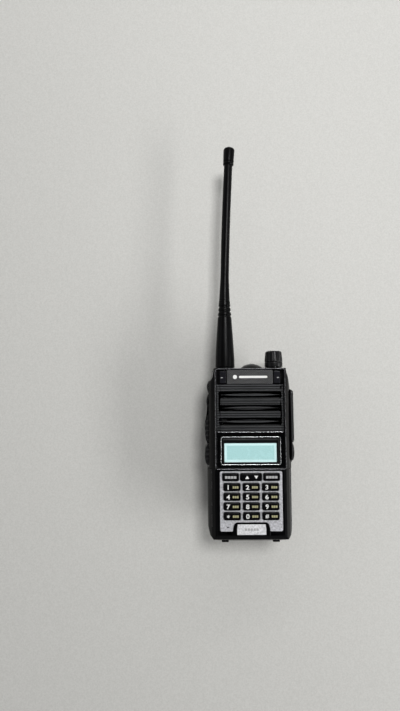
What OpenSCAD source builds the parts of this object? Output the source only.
// Rugged hand-held two way radio, standing upright on its feet.
// +Z runs up along the antenna, the front faces -Y, and +X is the right side seen from the front.
// The origin is at the middle of the footprint, on the surface that the feet stand on.
// Depths are measured backwards from the front frame.

/* [Body] */
// Width of the housing
body_w = 56.6; // [56:0.1:57]
// Height of the top face above the surface that the feet stand on
body_top = 114.8; // [114.5:0.1:115.2]
// Depth of the radio with its battery, without the belt clip
body_d = 34; // [34:0.2:36]
// Height of the feet
foot_h = 1.3; // [1.2:0.1:1.8]
// Wall thickness of the housing
wall = 2.2; // [2:0.1:2.3]

/* [Front] */
// Width of the raised frame around the grille and the display
frame_w = 46.6; // [46.2:0.2:47]
// Height at which the frame ends and the keypad part begins
frame_z = 47.9; // [47.7:0.1:48.1]
// Width of the display window
lcd_w = 34.6; // [33:0.2:36]
// Number of fine ridges on each grille bar
ridges = 3; // [2:1:4]

/* [Keys] */
// Width of a digit key
key_w = 11; // [10.4:0.2:11.2]
// Height of a digit key
key_h = 5; // [4.6:0.1:5.1]
// Distance between digit keys sideways
key_pitch_x = 12.6; // [12.4:0.1:12.8]
// Distance between digit keys upwards
key_pitch_z = 6.2; // [6.1:0.1:6.3]
// Travel of a key
key_travel = 0.5; // [0.3:0.1:0.5]
// Gap all round a key in its hole
key_gap = 0.2; // [0.15:0.05:0.2]

/* [Antenna] */
// Distance of the antenna to the left of the middle
antenna_off = 15.6; // [15:0.1:15.8]
// Diameter of the antenna's foot
antenna_foot_d = 13.5; // [13.2:0.1:14]
// Diameter of the whip
whip_d = 6; // [5:0.1:6.6]
// Length of the whip's bent stretch
whip_len = 82; // [60:0.5:100]
// Radius of the whip's slight bend
whip_bend_r = 2200; // [1000:50:3000]
// Lean of the whip, in degrees
whip_lean = 1.2; // [0:0.1:1.5]

/* [Volume knob] */
// Distance of the knob to the right of the middle
knob_off = 18.4; // [18:0.1:18.5]
// Diameter of the knob at its foot
knob_d = 12.5; // [12:0.1:12.7]
// Number of grip flutes
flutes = 16; // [10:1:20]

/* [Battery] */
// Width of the battery pack
battery_w = 50; // [49:0.5:50.5]
// Height of the top of the battery pack
battery_top = 91.5; // [90.5:0.5:91.5]
// Travel of the battery latch
latch_travel = 2.3; // [1.8:0.1:2.3]

/* [Belt clip] */
// Width of the clip's arm
clip_w = 17; // [16:0.5:17.5]
// Distance from the back of the battery to the outside of the clip
clip_d = 7.4; // [7.4:0.2:9]
// Length of the arm below its pin
clip_len = 63; // [50:1:66]

/* [Hidden] */
$fn = 48;

// The depths of the layers, from the front frame backwards
front_y = -(body_d + clip_d) / 2;
bed_d = 1.6;
lower_front_d = 1.0;
inner_d = 3.4;
housing_d = 22;
chassis_d0 = housing_d - 2.4;
chassis_d1 = housing_d - 0.2;
block_d = body_d - 1;
axis_d = 15;

// The housing: the left side is set back where the side keys are
half_w = body_w / 2;
side_x = -27.2;
pocket_x = side_x + 1.3;
cavity_x0 = side_x + wall;
cavity_x1 = half_w - wall;
cavity_z0 = foot_h + wall;
cavity_z1 = body_top - wall;
foot_x = 16.9;
side_z0 = 48.7;
side_z1 = 105.5;

// The front: the grille bars, from bottom to top, as [lower edge, upper edge]
frame_x = frame_w / 2;
frame_t = 1.1;
bars = [[72.4, 77.1], [82.0, 86.1], [90.4, 94.8], [99.3, 103.8]];
bar_x = 19.8;
badge_z0 = 104.1;
badge_z1 = body_top - 0.9;
lens_x = 19.3;
lens_z0 = 51.7;
lens_z1 = 69.2;
lcd_z0 = 52.3;
lcd_z1 = 65.2;
arch = [[12.4, 6.0], [11.6, 12.0], [10.9, 13.5], [9.6, 14.2]];
name_x = 9.4;
name_z0 = 6.5;
name_z1 = 13.1;

// The keypad: the digit rows go upwards from the bottom one
plate_x = 20.4;
plate_z0 = 8.6;
plate_z1 = 47.0;
plate_d0 = 0.7;
plate_d1 = 2.1;
row_z = 18.4;
key_d0 = -0.1;
flange_d0 = 2.15;
flange_d1 = 2.95;
flange_out = 0.3;
top_row_z = 43.4;
top_key_w = 10.8;
top_key_x = 13.4;
rocker_w = 14.2;
rocker_d = flange_d1 + 0.15;
mat_d0 = flange_d1 + key_travel + 0.15;
mat_d1 = 5.5;

// The side keys: the stem goes through the wall, and the inner flange holds the key in
side_d0 = 9.5;
side_d1 = 19;
side_base_x = pocket_x - 0.9;
ptt_z0 = 64.0;
ptt_z1 = 97.1;
upper_z0 = 97.9;
upper_z1 = 105.3;
lower_z0 = 49.4;
lower_z1 = 63.4;

// The accessory cover on the right side
cover_x0 = half_w + 0.05;
cover_x1 = 30.3;
cover_z1 = 100.3;
cover_d0 = 8;
cover_d1 = 21;
screw_z = 57.6;
screw_r = 6.5;
screw_x0 = 29.1;
screw_x1 = 30.7;
shank_r = 1.5;

// The top: antenna, torch and volume control
antenna_x = -antenna_off;
boss_z = body_top + 0.7;
foot_z = boss_z + 0.2;
taper_z = [134.8, 148.8, 162.4, 178.8];
taper_r = [5.9, 4.95, 3.85, whip_d / 2];
rings = [151.6, 154.9, 158];
bend = whip_len / whip_bend_r * 180 / PI;
cone_len = taper_z[3] - taper_z[2];
cap_len = 12.6;
cap_r = 4;
thread_r = 3.15;
pedestal_z = body_top + 0.55;
knob_z0 = pedestal_z + 0.25;
knob_z1 = knob_z0 + 11.3;
shaft_r = 2;
torch_x = 3;
torch_r = 8;
torch_rise = 3.2;
torch_ball_r = (torch_r * torch_r + torch_rise * torch_rise) / (2 * torch_rise);
torch_hole_r = 2.7;

// The battery pack and its latch
battery_d0 = housing_d + 0.2;
lid_t = 1.4;
battery_z0 = 2.2;
battery_x = battery_w / 2;
latch_x = 8;
latch_neck_x = 5;
latch_neck_z0 = 9.4;
latch_neck_z1 = 11.4;
latch_slot_z0 = latch_neck_z0 - 0.4;
latch_slot_z1 = latch_neck_z1 + latch_travel + 0.5;
latch_pocket_z0 = 4.6;
latch_pocket_z1 = 16.4;
latch_z1 = latch_pocket_z1 - latch_travel - 0.3;
latch_spring_d = 28;
latch_spring_r = 1.6;
latch_spring_z0 = latch_neck_z1 + 0.05;
latch_spring_z1 = 18.3;
pad_x = 12;
pad_z = 26;

// The belt clip
pin_z = 101;
pin_d = body_d + 2.7;
pin_r = 0.9;
barrel_r = 2;
arm_d1 = body_d + clip_d;
arm_t = 2.2;
ear_x0 = 8;
ear_x1 = 9.6;
bracket_z0 = 93.6;
bracket_z1 = 108.4;
bracket_t = 1.4;
clip_screw_dz = 4.9;
block_z0 = battery_top + 0.7;
block_x = 24.2;
block_z1 = body_top - 1;
lug_x = 25.8;
lug_d = 26.8;
lug_r = 1.4;

// The housing's screws, as [x, z]
boss_r = 2.4;
bosses = [[-19.8, 8.6], [21.8, 8.6], [-19.8, 108.4], [21.8, 99.5]];

// Speaker and boards
speaker_x = 1.5;
speaker_z = 88;
speaker_r = 16.5;
board_d0 = 13;
mic_x = -15.4;
mic_z = 11.2;

// ---------- helpers ----------

// Mirror a half outline onto the other side
function both_sides(p) = concat(p, [for (i = [len(p) - 1:-1:0]) [-p[i][0], p[i][1]]]);

// A front view outline, as (x, z), between two depths
module slab(d0, d1) translate([0, front_y + d1, 0]) rotate([90, 0, 0]) linear_extrude(d1 - d0) children();

// A side view outline, as (depth, z), between two x
module bar(x0, x1) translate([x0, front_y, 0]) rotate([90, 0, 90]) linear_extrude(x1 - x0) children();

// A plan outline, as (x, depth), between two heights
module post(z0, z1) translate([0, front_y, z0]) linear_extrude(z1 - z0) children();

// The outline of the space inside the housing, as (x, z), drawn in by d
function inner_outline(d) = [
    [cavity_x1 - 2.4 - 0.5 * d, cavity_z0 + d], [cavity_x1 - d, cavity_z0 + 3.3 + 0.5 * d],
    [cavity_x1 - d, cavity_z1 - 11.6], [24.4 - d, cavity_z1 - 5], [22.6 - 0.7 * d, cavity_z1 - d],
    [-22 + 0.7 * d, cavity_z1 - d], [-22.6 + d, cavity_z1 - 3.1], [cavity_x0 + d, side_z1 - 0.9 - 0.3 * d],
    [cavity_x0 + d, cavity_z0 + 3.3 + 0.5 * d], [cavity_x0 + 2.4 + 0.5 * d, cavity_z0 + d]
];

// Round bars along each axis
module rod_x(d, z, r, x0, x1)
    translate([x0, front_y + d, z]) rotate([0, 90, 0]) cylinder(h = x1 - x0, r = r);
module rod_y(x, z, r, d0, d1)
    translate([x, front_y + d0, z]) rotate([-90, 0, 0]) cylinder(h = d1 - d0, r = r);
module rod_z(x, d, r, z0, z1) translate([x, front_y + d, z0]) cylinder(h = z1 - z0, r = r);

// A plain block between two corners, each as [x, depth, z]
module block(a, b) translate([a[0], front_y + a[1], a[2]]) cube([b[0] - a[0], b[1] - a[1], b[2] - a[2]]);

// A rectangle between two corners with round corners
module round_rect(x0, z0, x1, z1, r) {
    translate([x0 + r, z0]) square([x1 - x0 - 2 * r, z1 - z0]);
    translate([x0, z0 + r]) square([x1 - x0, z1 - z0 - 2 * r]);
    for (x = [x0 + r, x1 - r], z = [z0 + r, z1 - r]) translate([x, z]) circle(r);
}

// A round wire wound about Z, as one swept solid
module coil(r, wire_r, turns, length) {
    steps = 14;
    sides = 6;
    n = floor(turns * steps);
    points = [
        for (i = [0:n], s = [0:sides - 1])
            let (a = 360 * i / steps, b = 360 * s / sides, reach = r + wire_r * cos(b))
            [reach * cos(a), reach * sin(a), wire_r + (length - 2 * wire_r) * i / n + wire_r * sin(b)]
    ];
    walls = [
        for (i = [0:n - 1], s = [0:sides - 1])
            let (t = (s + 1) % sides)
            [i * sides + s, i * sides + t, (i + 1) * sides + t, (i + 1) * sides + s]
    ];
    start = [[for (s = [sides - 1:-1:0]) s]];
    end = [[for (s = [0:sides - 1]) n * sides + s]];
    polyhedron(points = points, faces = concat(walls, start, end), convexity = 8);
}

// ---------- housing ----------

module housing_silhouette() {
    right = [
        [18, foot_h], [24.5, foot_h + 1.2], [26.75, foot_h + 3.1], [half_w - 0.2, foot_h + 8], [half_w, 45],
        [half_w, 100.6], [27.5, 103.6], [27, 106.4], [26.3, 109], [25.1, 111.6], [24.5, body_top]
    ];
    left = [
        [-23.9, body_top], [-24.2, 111.8], [-24.8, 109.3], [-25.3, 107.8], [-26.1, 106.6],
        [side_x, side_z1 + 0.3], [side_x, side_z0 + 0.6], [-27.5, side_z0], [-half_w, side_z0 - 1],
        [-half_w, 45], [-half_w + 0.2, foot_h + 8], [-26.75, foot_h + 3.1],
        [-24.5, foot_h + 1.2], [-18, foot_h]
    ];
    polygon(concat(right, left));
}

module housing_side_profile() {
    polygon([
        [5.0, foot_h], [2.4, foot_h + 1.6], [lower_front_d, foot_h + 4.6], [lower_front_d, body_top - 0.9],
        [bed_d + 1.2, body_top], [housing_d, body_top], [housing_d, foot_h]
    ]);
}

module lower_plan() {
    polygon(both_sides([
        [21.8, lower_front_d], [23.4, 1.5], [25.6, 4.0], [27.2, 6.6], [half_w, 9.6], [half_w, housing_d]
    ]));
}

module upper_plan() {
    polygon(both_sides([
        [frame_x - 0.2, bed_d], [frame_x + 0.2, 2.5], [25.8, 4.8], [27.3, 7.4], [half_w, 10],
        [half_w, housing_d]
    ]));
}

module housing_volume() {
    intersection() {
        slab(0, housing_d) housing_silhouette();
        bar(-half_w - 1, half_w + 1) housing_side_profile();
        union() {
            post(0, frame_z) lower_plan();
            post(frame_z, body_top + 1) upper_plan();
        }
    }
}

module torch_dome() {
    intersection() {
        translate([torch_x, front_y + axis_d, body_top + torch_rise - torch_ball_r]) sphere(torch_ball_r);
        rod_z(torch_x, axis_d, torch_r, body_top - 1, body_top + torch_rise + 1);
    }
}

module side_opening(z0, z1) {
    block([pocket_x - 1, side_d0 + 2.2, z0 + 1.9], [cavity_x0 + 1, side_d1 - 2.2, z1 - 1.9]);
}

module front_housing() color("#1b1b1d") {
    difference() {
        union() {
            difference() {
                union() {
                    housing_volume();
                    slab(0.4, lower_front_d + 1) polygon(both_sides(arch));
                    rod_z(antenna_x, axis_d, 6.9, body_top - 1, boss_z);
                    rod_z(knob_off, axis_d, 5.9, body_top - 1, pedestal_z);
                    torch_dome();
                    for (s = [-1, 1])
                        block([s * foot_x - 2.3, 5.5, 0], [s * foot_x + 2.3, 20, foot_h + 0.1]);
                }
                intersection() {
                    slab(0, housing_d + 1) polygon(inner_outline(0));
                    post(0, body_top) polygon([
                        [cavity_x0, 6.4], [cavity_x0 + 2.2, inner_d], [22.4, inner_d], [cavity_x1, 8.2],
                        [cavity_x1, housing_d + 1], [cavity_x0, housing_d + 1]
                    ]);
                }
            }
            for (b = bosses) rod_y(b[0], b[1], boss_r, inner_d - 0.1, chassis_d0 - 0.1);
        }
        for (b = bosses) rod_y(b[0], b[1], 1.05, 9, chassis_d0 + 1);
        // sound window, display window, keypad pocket and window
        block([-18.5, 0, 74.5], [18.5, inner_d + 1, 102]);
        block([-lcd_w / 2, 0, lcd_z0], [lcd_w / 2, inner_d + 1, lcd_z1]);
        difference() {
            slab(0, plate_d1) round_rect(-plate_x - 0.1, plate_z0 - 0.1, plate_x + 0.1, plate_z1 + 0.1, 1.2);
            slab(-1, plate_d1 + 1) polygon(both_sides(arch));
        }
        block([-19.6, 0, 15.2], [19.6, inner_d + 1, 46.4]);
        slab(0.3, 0.95)
            polygon(both_sides([
                [name_x + 0.1, name_z0 - 0.1], [name_x + 0.1, name_z0 + 4], [name_x - 0.3, name_z1 + 0.1]
            ]));
        rod_y(mic_x, mic_z, 0.6, 0, inner_d + 1);
        // the side keys' pocket, and openings in the sides and the top
        block([side_x - 1, side_d0 - 0.25, lower_z0 - 0.25], [pocket_x, side_d1 + 0.25, upper_z1 + 0.25]);
        side_opening(ptt_z0, ptt_z1);
        side_opening(upper_z0, upper_z1);
        side_opening(lower_z0, lower_z1);
        block([cavity_x1 - 1, 10.2, 73.2], [half_w + 1, 17.8, 90.8]);
        rod_x(axis_d, screw_z, shank_r + 0.06, cavity_x1 - 1, half_w + 1);
        rod_z(antenna_x, axis_d, 4.05, cavity_z1 - 1, boss_z + 1);
        rod_z(knob_off, axis_d, 3.45, cavity_z1 - 1, pedestal_z + 1);
        rod_z(torch_x, axis_d, torch_hole_r, cavity_z1 - 1, body_top + torch_rise + 1);
    }
}

module front_frame() color("#3a3b3d") {
    difference() {
        slab(0, bed_d - 0.05) round_rect(-frame_x, frame_z + 0.1, frame_x, badge_z1 + 0.6, 2.4);
        slab(-1, bed_d + 1)
            round_rect(-frame_x + frame_t, frame_z + 0.1 + frame_t, frame_x - frame_t, badge_z1 - 0.2, 1.6);
    }
}

// The curved rib in the middle of a slot, thick in the middle and pointed at its ends
module slot_rib(z) {
    half = 18.6;
    rise = 0.95;
    r = (half * half + rise * rise) / (2 * rise);
    translate([0, z]) intersection() {
        translate([0, rise - r]) circle(r, $fn = 160);
        translate([0, r - rise]) circle(r, $fn = 160);
    }
}

module speaker_grille() color("#333436") {
    z0 = bars[0][0];
    z1 = bars[3][1];
    grille_x = frame_x - frame_t - 0.15;
    difference() {
        slab(1.0, bed_d - 0.05) round_rect(-grille_x, z0, grille_x, z1, 0.5);
        for (i = [0:2])
            slab(0, bed_d + 1) round_rect(-20.8, bars[i][1] + 0.05, 20.8, bars[i + 1][0] - 0.05, 1.2);
    }
    for (b = bars) {
        step = (b[1] - b[0]) / ridges;
        slab(0.55, 1.05) round_rect(-bar_x, b[0], bar_x, b[1], 0.5);
        for (k = [0:ridges - 1])
            slab(0.3, 0.6)
                round_rect(
                    -bar_x + 0.3, b[0] + step * k + 0.25, bar_x - 0.3, b[0] + step * (k + 1) - 0.25, 0.3
                );
    }
    for (i = [0:2]) {
        mid = (bars[i][1] + bars[i + 1][0]) / 2;
        slab(0.8, bed_d - 0.05) slot_rib(mid);
        slab(1.0, bed_d - 0.05) translate([-20.9, mid - 0.15]) square([41.8, 0.3]);
    }
}

module speaker_membrane() color("#151516") block([-19.1, inner_d, 73.2], [19.1, inner_d + 0.3, 103.2]);

module speaker() color("#6e6a63") {
    translate([speaker_x, front_y, speaker_z]) rotate([-90, 0, 0]) rotate_extrude()
        polygon([
            [0, 6.4], [6, 6.2], [speaker_r - 2.5, 4.4], [speaker_r, 4.4], [speaker_r, 6.0],
            [9, 8.4], [9, 11.6], [0, 11.6]
        ]);
}

module badge_plate() color("#2c2d2f") {
    slab(0.5, bed_d - 0.05) round_rect(-15.3, badge_z0, 15.3, badge_z1 - 0.4, 0.8);
}

module status_lights() color("#8f9092") {
    for (s = [-1, 1])
        slab(0.4, bed_d - 0.05) round_rect(s * 18 - 2, badge_z0 + 0.6, s * 18 + 2, badge_z1 - 1.2, 0.6);
}

module lcd_lens() color("#202428") {
    slab(0.4, bed_d - 0.05)
        polygon(both_sides([
            [lens_x - 1.2, lens_z0], [lens_x, lens_z0 + 1.2],
            [lens_x, lens_z1 - 1.4], [lens_x - 1.8, lens_z1]
        ]));
}

module lcd_module() color("#a9d6d4") {
    block([-lcd_w / 2 + 0.15, bed_d + 0.1, lcd_z0 + 0.15], [lcd_w / 2 - 0.15, mat_d1, lcd_z1 - 0.15]);
    block([-20.4, inner_d + 0.05, lcd_z0 - 1.4], [20.4, mat_d1, lcd_z1 + 1.6]);
}

// ---------- keypad ----------

module key_outline(x, z, w, h, grow = 0) {
    round_rect(x - w / 2 - grow, z - h / 2 - grow, x + w / 2 + grow, z + h / 2 + grow, 1.1 + grow);
}

module keypad_plate() color("#b9b9bd") {
    difference() {
        slab(plate_d0, plate_d1 - 0.02) round_rect(-plate_x, plate_z0, plate_x, plate_z1, 1.1);
        for (column = [-1:1], row = [0:3])
            slab(0, plate_d1 + 1)
                key_outline(column * key_pitch_x, row_z + row * key_pitch_z, key_w, key_h, key_gap);
        for (s = [-1, 1])
            slab(0, plate_d1 + 1) key_outline(s * top_key_x, top_row_z, top_key_w, key_h, key_gap);
        slab(0, plate_d1 + 1) key_outline(0, top_row_z, rocker_w, key_h, key_gap);
        slab(0, plate_d1 + 1)
            polygon(both_sides([for (p = arch) [p[0] + 0.15, p[1] + (p[1] > 14 ? 0.15 : 0)]]));
        rod_y(mic_x, mic_z, 0.6, 0, plate_d1 + 1);
    }
}

// A key: the cap stands out of the plate, and the flange behind the plate holds it in
module key(x, z, w) color("#161617") {
    slab(key_d0, flange_d0 + 0.1) key_outline(x, z, w, key_h);
    slab(flange_d0, flange_d1) key_outline(x, z, w, key_h, flange_out);
}

module digit_key(column, row) key(column * key_pitch_x, row_z + row * key_pitch_z, key_w);

module key_menu() key(-top_key_x, top_row_z, top_key_w);
module key_exit() key(top_key_x, top_row_z, top_key_w);
module key_1() digit_key(-1, 3);
module key_2() digit_key(0, 3);
module key_3() digit_key(1, 3);
module key_4() digit_key(-1, 2);
module key_5() digit_key(0, 2);
module key_6() digit_key(1, 2);
module key_7() digit_key(-1, 1);
module key_8() digit_key(0, 1);
module key_9() digit_key(1, 1);
module key_star() digit_key(-1, 0);
module key_0() digit_key(0, 0);
module key_hash() digit_key(1, 0);

// The rocker tips to either side on the ridge at its back, so its flange sits further back
module key_up_down() color("#161617") {
    slab(key_d0, flange_d0 + 0.5) key_outline(0, top_row_z, rocker_w, key_h);
    slab(flange_d0 + 0.45, rocker_d) key_outline(0, top_row_z, rocker_w, key_h, flange_out - 0.1);
    rod_z(0, rocker_d, 0.4, top_row_z - 1.8, top_row_z + 1.8);
}

module keypad_mat() color("#3b3c40") block([-19.4, mat_d0, 15.2], [19.4, mat_d1, 46.6]);

module keypad_board() color("#1f5c3a") block([-21.5, mat_d1 + 0.1, 12.4], [21.5, mat_d1 + 1.3, 70.4]);

module name_plate() color("#c9c9cc") {
    slab(0.35, 0.9) polygon(both_sides([[name_x, name_z0], [name_x, name_z0 + 4], [name_x - 0.4, name_z1]]));
}

// ---------- side keys ----------

// The parts of a side key that all three share, the stem and the inner flange
module side_key_stem(z0, z1) {
    block([side_base_x - 0.1, side_d0 + 2.5, z0 + 2.2], [cavity_x0 + 0.4, side_d1 - 2.5, z1 - 2.2]);
    block([cavity_x0 + 0.05, side_d0 + 1.5, z0 + 1.2], [cavity_x0 + 0.85, side_d1 - 1.5, z1 - 1.2]);
}

module ptt_button() color("#222224") {
    // two humps for the fingertips, with a dip between them
    slab(side_d0, side_d1) polygon([
        [side_base_x, ptt_z0], [side_base_x, ptt_z1], [-27.5, ptt_z1], [-28.1, 95.8], [-28.75, 93.4],
        [-28.85, 91.6], [-28.4, 89.6], [-27.75, 87.8], [-27.75, 87], [-28.5, 84.4], [-29.2, 81.6],
        [-29.7, 78.6], [-29.9, 75], [-29.9, 71], [-29.5, 67], [-28.7, 64.6], [-28.2, ptt_z0]
    ]);
    side_key_stem(ptt_z0, ptt_z1);
}

module side_key_upper() color("#222224") {
    slab(side_d0, side_d1) polygon([
        [side_base_x, upper_z0], [side_base_x, upper_z1], [-27.4, upper_z1], [-28.1, 104.2],
        [-28.4, 102.6], [-28.35, 101], [-27.9, 99.4], [-27.4, upper_z0]
    ]);
    side_key_stem(upper_z0, upper_z1);
}

module side_key_lower() color("#222224") {
    slab(side_d0, side_d1) polygon([
        [side_base_x, lower_z0], [side_base_x, lower_z1], [-28.2, lower_z1], [-29.5, 61.2],
        [-29.95, 58], [-30, 54.6], [-29.6, 51.4], [-28.6, lower_z0]
    ]);
    side_key_stem(lower_z0, lower_z1);
}

module side_key_seal() color("#2e2e30") {
    block([cavity_x0 + 1.85, side_d0 + 0.5, lower_z0], [cavity_x0 + 2.45, side_d1 - 0.5, upper_z1]);
}

// ---------- accessory port ----------

module cover_outline(grow = 0) {
    hull() {
        translate([axis_d - 0.5, screw_z]) circle(screw_r + 1 + grow, $fn = 48);
        for (d = [cover_d0 + 2 - grow, cover_d1 - 2 + grow], z = [cover_z1 - 2 + grow])
            translate([d, z]) circle(2, $fn = 24);
    }
}

module accessory_cover() color("#232325") {
    difference() {
        union() {
            bar(cover_x0, screw_x0 - 0.1) cover_outline();
            intersection() {
                bar(cover_x0, cover_x1) cover_outline(-0.4);
                slab(0, cover_d1) polygon([
                    [cover_x0, screw_z + screw_r + 0.5], [cover_x1 - 0.6, screw_z + screw_r + 0.5],
                    [cover_x1, screw_z + screw_r + 2.2], [cover_x1, cover_z1 - 1.6],
                    [cover_x1 - 0.8, cover_z1], [cover_x0, cover_z1]
                ]);
            }
        }
        rod_x(axis_d, screw_z, shank_r + 0.06, cover_x0 - 1, cover_x1);
    }
}

module accessory_screw() color("#2b2b2e") {
    difference() {
        union() {
            rod_x(axis_d, screw_z, screw_r - 0.1, screw_x0, screw_x1 - 0.6);
            translate([screw_x1 - 0.6, front_y + axis_d, screw_z]) rotate([0, 90, 0])
                cylinder(h = 0.6, r1 = screw_r - 0.1, r2 = screw_r - 1);
        }
        block([screw_x1 - 0.8, axis_d - 0.6, screw_z - 4], [screw_x1 + 1, axis_d + 0.6, screw_z + 4]);
    }
    rod_x(axis_d, screw_z, shank_r, cavity_x1 - 1.5, screw_x0 + 0.1);
}

module accessory_socket() color("#444448") {
    difference() {
        block([22.4, 10.4, 73.4], [half_w - 0.3, 17.6, 90.6]);
        rod_x(14, 77.4, 1.3, 23.5, half_w);
        rod_x(14, 85.6, 1.8, 23.5, half_w);
    }
}

// ---------- antenna ----------

// The radius of the sleeve at the height of a ring groove
function ring_r(z) = taper_r[1] + (taper_r[2] - taper_r[1]) * (z - taper_z[1]) / (taper_z[2] - taper_z[1]);

module antenna_base() color("#18181a") {
    translate([antenna_x, front_y + axis_d, 0]) difference() {
        rotate_extrude() polygon([
            [0, foot_z], [antenna_foot_d / 2 - 0.3, foot_z], [antenna_foot_d / 2, foot_z + 0.4],
            [antenna_foot_d / 2 - 0.15, foot_z + 7.5], [taper_r[0], taper_z[0]], [taper_r[1], taper_z[1]],
            for (z = rings, p = [[0, -0.7], [-0.45, -0.5], [-0.45, 0.5], [0, 0.7]])
                [ring_r(z) + p[0], z + p[1]],
            [taper_r[2], taper_z[2]], [0, taper_z[2]]
        ]);
        translate([0, 0, foot_z - 1]) cylinder(h = 8.4, r = thread_r + 0.05);
    }
}

// The whip and its cap lean together, from the top of the base
module leaning() {
    translate([antenna_x, front_y + axis_d, taper_z[2]]) rotate([0, whip_lean, 0]) children();
}

module antenna_whip() color("#1d1d1f") {
    leaning() {
        translate([0, 0, 0.1]) cylinder(h = cone_len - 0.1, r1 = taper_r[2] - 0.1, r2 = taper_r[3]);
        translate([whip_bend_r, 0, cone_len]) rotate([90, 0, 180])
            rotate_extrude(angle = bend, $fn = 360) translate([whip_bend_r, 0]) circle(whip_d / 2, $fn = 48);
    }
}

module antenna_cap() color("#141415") {
    leaning()
        translate([whip_bend_r * (1 - cos(bend)), 0, cone_len + whip_bend_r * sin(bend)])
            rotate([0, bend, 0])
            rotate_extrude() polygon([
                [0, 0.02], [cap_r - 0.9, 0.02], [cap_r - 0.25, 0.9], [cap_r - 0.2, 1.7], [cap_r - 0.6, 1.9],
                [cap_r - 0.6, 2.4], [cap_r - 0.2, 2.6], [cap_r, cap_len - 1.2], [cap_r - 0.3, cap_len - 0.5],
                [cap_r - 0.9, cap_len], [0, cap_len]
            ]);
}

module antenna_connector() color("#c9a24b") {
    rod_z(antenna_x, axis_d, 4.4, cavity_z1 - 1.4, cavity_z1 - 0.05);
    rod_z(antenna_x, axis_d, 4, cavity_z1 - 0.1, boss_z);
    rod_z(antenna_x, axis_d, thread_r, boss_z - 0.1, boss_z + 6.4);
}

// ---------- volume control ----------

module volume_knob() color("#1a1a1b") {
    h = knob_z1 - knob_z0;
    r1 = knob_d / 2;
    r2 = r1 - 0.6;
    translate([knob_off, front_y + axis_d, knob_z0]) difference() {
        rotate_extrude() polygon([
            [0, 0], [r1 - 0.4, 0], [r1 - 0.1, 0.3], [r1, 3.1], [r1 - 0.3, 3.3], [r1 - 0.3, 3.6],
            [r1, 3.9], [r2, h - 1.2], [r2 - 0.5, h - 0.4], [r2 - 1.6, h], [0, h]
        ]);
        for (i = [0:flutes - 1]) rotate([0, 0, (i + 0.5) * 360 / flutes])
            translate([r1 + 0.35, 0, 4.2]) rotate([0, -5, 0]) cylinder(h = h, r = 0.75, $fn = 24);
        translate([0, 0, -1]) cylinder(h = 8.5, r = shaft_r + 0.02);
    }
}

module volume_shaft() color("#b8b8bc") rod_z(knob_off, axis_d, shaft_r, cavity_z1 - 5.4, knob_z0 + 7.3);

module volume_switch() color("#3c3c40") {
    difference() {
        union() {
            block(
                [knob_off - 4, axis_d - 5.5, cavity_z1 - 7],
                [knob_off + 4, axis_d + 4.3, cavity_z1 - 0.2]
            );
            rod_z(knob_off, axis_d, 3.4, cavity_z1 - 0.3, pedestal_z);
        }
        rod_z(knob_off, axis_d, shaft_r + 0.06, cavity_z1 - 5.6, pedestal_z + 1);
    }
}

// ---------- torch, microphone ----------

module torch_lens() color("#d8dde0") {
    intersection() {
        rod_z(torch_x, axis_d, torch_hole_r - 0.1, body_top - 0.5, body_top + torch_rise + 1);
        translate([torch_x, front_y + axis_d, body_top + torch_rise - 5.2]) sphere(5.5);
    }
}

module torch_led() color("#e6e2b0") {
    rod_z(torch_x, axis_d, 2.1, cavity_z1 - 2.2, body_top - 1.2);
    block([torch_x - 3, axis_d - 3, cavity_z1 - 3.2], [torch_x + 3, axis_d + 3, cavity_z1 - 2.2]);
}

module microphone() color("#9a9a9e") rod_y(mic_x, mic_z, 2.6, inner_d + 0.05, inner_d + 2);

// ---------- inside and back ----------

module chassis() color("#3d3e42") {
    difference() {
        union() {
            slab(chassis_d0, chassis_d1) polygon(inner_outline(0.1));
            block([-21.5, chassis_d1 - 0.1, block_z0], [21.5, housing_d + 0.2, cavity_z1 - 1]);
            intersection() {
                block([-block_x, housing_d + 0.1, block_z0], [block_x, block_d, block_z1]);
                post(block_z0, block_z1) polygon(both_sides([
                    [block_x, 0], [block_x, block_d - 4.5], [block_x - 1.6, block_d - 1.4],
                    [block_x - 4.6, block_d]
                ]));
                bar(-block_x, block_x) polygon([
                    [0, block_z0], [block_d, block_z0], [block_d, block_z1 - 3.5],
                    [block_d - 1.2, block_z1 - 1.2],
                    [block_d - 3.6, block_z1], [0, block_z1]
                ]);
            }
            // the lug for a wrist strap
            block([block_x - 1, lug_d - 2.8, 96], [lug_x + 2.2, lug_d + 2.8, 100]);
        }
        // a groove all round for the gasket
        difference() {
            slab(chassis_d0 + 0.6, chassis_d0 + 1.6) polygon(inner_outline(-1));
            slab(0, body_d) polygon(inner_outline(0.9));
        }
        for (b = bosses) {
            rod_y(b[0], b[1], 1.15, chassis_d0 - 1, chassis_d1 + 1);
            rod_y(b[0], b[1], 1.95, chassis_d1 - 1, chassis_d1 + 3);
        }
        block([-latch_neck_x - 0.3, 0, latch_slot_z0], [latch_neck_x + 0.3, body_d, latch_slot_z1]);
        for (s = [-1, 1]) rod_y(0, pin_z + s * clip_screw_dz, 1.3, block_d - 6, block_d + 1);
        rod_z(lug_x, lug_d, lug_r, 95, 101);
    }
}

module main_board() color("#22633f") {
    difference() {
        union() {
            block([-20.2, board_d0, 12.4], [19, board_d0 + 1.6, 103.6]);
            block([-14, board_d0 + 1.5, 30], [16, board_d0 + 4.6, 66]);
        }
        rod_y(speaker_x, speaker_z, 9.6, board_d0 - 1, board_d0 + 5);
    }
}

module housing_gasket() color("#54565a") {
    slab(chassis_d0 + 0.65, chassis_d0 + 1.55) difference() {
        polygon(inner_outline(0.05));
        polygon(inner_outline(0.85));
    }
}

module battery_outline() {
    polygon(both_sides([
        [battery_x, battery_d0], [battery_x, body_d - 4.6], [battery_x - 1.5, body_d - 1.5],
        [battery_x - 4.6, body_d]
    ]));
}

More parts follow.
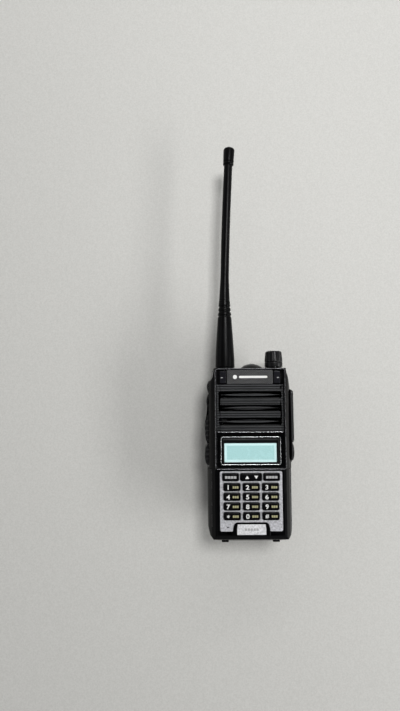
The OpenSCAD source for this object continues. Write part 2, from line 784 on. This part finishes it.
module battery_profile() {
    polygon([
        [battery_d0, battery_z0], [body_d - 3.4, battery_z0], [body_d - 1, battery_z0 + 1.1],
        [body_d, battery_z0 + 3.6],
        [body_d, battery_top - 2], [body_d - 1.6, battery_top], [battery_d0, battery_top]
    ]);
}

module battery_case() color("#1e1e20") {
    difference() {
        union() {
            intersection() {
                post(battery_z0, battery_top) battery_outline();
                bar(-battery_x, battery_x) battery_profile();
                block([-battery_x, battery_d0 + lid_t, 0], [battery_x, body_d, battery_top]);
            }
            for (s = [-1, 1]) block([s * foot_x - 2.3, 24.5, 0], [s * foot_x + 2.3, 30, battery_z0 + 0.1]);
        }
        block([-22.7, battery_d0, 20.5], [22.7, 31.8, battery_top - 2.2]);
        // the latch's pocket, slot and spring hole
        block([-latch_x - 0.6, 31.4, latch_pocket_z0], [latch_x + 0.6, body_d + 1, latch_pocket_z1]);
        block([-latch_neck_x - 0.3, battery_d0, latch_slot_z0], [latch_neck_x + 0.3, body_d, latch_slot_z1]);
        rod_z(0, latch_spring_d, latch_spring_r + 0.7, latch_slot_z1 - 1, latch_spring_z1 + 0.05);
        for (s = [-1, 1]) rod_y(s * pad_x, pad_z, 2.3, body_d - 1, body_d + 1);
        // grip grooves across the lower sides
        for (s = [-1, 1], k = [0:3]) rod_z(s * (battery_x + 0.35), 28.6 - k * 1.5, 0.65, 30, 62);
    }
}

module battery_lid() color("#262628") {
    difference() {
        block([-battery_x, battery_d0, battery_z0], [battery_x, battery_d0 + lid_t - 0.05, battery_top]);
        block([-latch_neck_x - 0.3, 0, latch_slot_z0], [latch_neck_x + 0.3, body_d, latch_slot_z1]);
        for (k = [-1:1]) block([k * 7 - 2.4, 0, 78.6], [k * 7 + 2.4, body_d, 85.4]);
    }
}

module battery_cells() color("#5577a8") {
    for (s = [-1, 1]) block([s * 11.3 - 10.9, 24.2, 21], [s * 11.3 + 10.9, 31.4, battery_top - 2.8]);
}

module battery_contacts() color("#c8a24a") {
    for (k = [-1:1]) block([k * 7 - 2.3, battery_d0 + 0.1, 78.7], [k * 7 + 2.3, battery_d0 + 0.8, 85.3]);
    for (s = [-1, 1]) rod_y(s * pad_x, pad_z, 2.2, body_d - 0.95, body_d - 0.1);
}

module battery_latch() color("#2a2a2d") {
    difference() {
        block([-latch_x, 31.7, latch_pocket_z0 + 0.3], [latch_x, body_d - 0.2, latch_z1]);
        for (k = [0:3]) rod_x(body_d, latch_pocket_z0 + 2 + k * 1.7, 0.55, -latch_x + 1.2, latch_x - 1.2);
    }
    block([-latch_neck_x, 18, latch_neck_z0], [latch_neck_x, 31.8, latch_neck_z1]);
    block([-latch_neck_x, 18, latch_neck_z0 - 2.2], [latch_neck_x, 19.3, latch_neck_z0 + 0.1]);
}

module latch_spring() color("#b5b6ba") {
    translate([0, front_y + latch_spring_d, latch_spring_z0])
        coil(latch_spring_r, 0.25, 6, latch_spring_z1 - latch_spring_z0);
}

// ---------- belt clip ----------

module clip_bracket() color("#2b2b2e") {
    difference() {
        union() {
            block([-ear_x1, block_d, bracket_z0], [ear_x1, block_d + bracket_t, bracket_z1]);
            for (s = [-1, 1])
                translate([s > 0 ? ear_x0 : -ear_x1, 0, 0]) bar(0, ear_x1 - ear_x0) hull() {
                    translate([pin_d, pin_z]) circle(1.9, $fn = 48);
                    translate([block_d, pin_z - 4]) square([0.5, 8]);
                }
        }
        rod_x(pin_d, pin_z, pin_r + 0.02, -ear_x1 - 1, ear_x1 + 1);
        for (s = [-1, 1]) rod_y(0, pin_z + s * clip_screw_dz, 1.35, block_d - 1, block_d + bracket_t + 1);
    }
}

module clip_arm() color("#202022") {
    inner = arm_d1 - arm_t;
    tip_z0 = pin_z - clip_len;
    difference() {
        union() {
            // the long leaf, bowed in at its tip so that it grips the belt
            bar(-clip_w / 2, clip_w / 2) polygon([
                [inner + 0.2, 112.6], [inner + 1.2, 113.6], [arm_d1 - 0.4, 112.8], [arm_d1, 111],
                [arm_d1, tip_z0 + 12], [arm_d1 - 0.8, tip_z0 + 6.5], [arm_d1 - 2.8, tip_z0 + 1.6],
                [body_d + 2.3, tip_z0], [body_d + 0.9, tip_z0 + 0.6], [body_d + 0.4, tip_z0 + 2],
                [body_d + 0.9, tip_z0 + 3.4], [inner - 1.4, tip_z0 + 8], [inner, tip_z0 + 14]
            ]);
            for (s = [-1, 1]) translate([s > 0 ? 3.3 : -ear_x0 + 0.15, 0, 0]) bar(0, ear_x0 - 3.45) union() {
                translate([pin_d, pin_z]) circle(barrel_r, $fn = 48);
                translate([pin_d, pin_z - barrel_r]) square([inner - pin_d + 0.5, 2 * barrel_r]);
            }
        }
        rod_x(pin_d, pin_z, pin_r + 0.05, -ear_x1, ear_x1);
        // finger grooves on the thumb tab
        for (k = [0:3]) rod_x(arm_d1 + 0.2, 104.6 + k * 2, 0.6, -clip_w / 2 - 1, clip_w / 2 + 1);
    }
}

module clip_pin() color("#c2c3c6") rod_x(pin_d, pin_z, pin_r, -ear_x1, ear_x1);

module clip_spring() color("#b5b6ba") {
    translate([-2.8, front_y + pin_d, pin_z]) rotate([0, 90, 0]) coil(1.45, 0.25, 6, 5.6);
}

// ---------- fasteners ----------

module housing_screws() color("#8c8d91") {
    for (b = bosses) {
        rod_y(b[0], b[1], 1, 10, chassis_d1 - 0.9);
        difference() {
            rod_y(b[0], b[1], 1.85, chassis_d1 - 0.95, chassis_d1 - 0.05);
            rod_y(b[0], b[1], 0.8, chassis_d1 - 0.5, chassis_d1 + 1);
        }
    }
}

module clip_screws() color("#8c8d91") {
    for (s = [-1, 1]) {
        rod_y(0, pin_z + s * clip_screw_dz, 1.25, block_d - 5.6, block_d + bracket_t + 0.1);
        difference() {
            rod_y(0, pin_z + s * clip_screw_dz, 2.1, block_d + bracket_t + 0.02, block_d + bracket_t + 1.1);
            rod_y(0, pin_z + s * clip_screw_dz, 0.9, block_d + bracket_t + 0.5, block_d + bracket_t + 2);
        }
    }
}

front_housing();
front_frame();
speaker_grille();
speaker_membrane();
speaker();
badge_plate();
status_lights();
lcd_lens();
lcd_module();
keypad_plate();
key_menu();
key_up_down();
key_exit();
key_1();
key_2();
key_3();
key_4();
key_5();
key_6();
key_7();
key_8();
key_9();
key_star();
key_0();
key_hash();
keypad_mat();
keypad_board();
name_plate();
ptt_button();
side_key_upper();
side_key_lower();
side_key_seal();
accessory_cover();
accessory_screw();
accessory_socket();
antenna_base();
antenna_whip();
antenna_cap();
antenna_connector();
volume_knob();
volume_shaft();
volume_switch();
torch_lens();
torch_led();
microphone();
chassis();
main_board();
housing_gasket();
battery_case();
battery_lid();
battery_cells();
battery_contacts();
battery_latch();
latch_spring();
clip_bracket();
clip_arm();
clip_pin();
clip_spring();
housing_screws();
clip_screws();
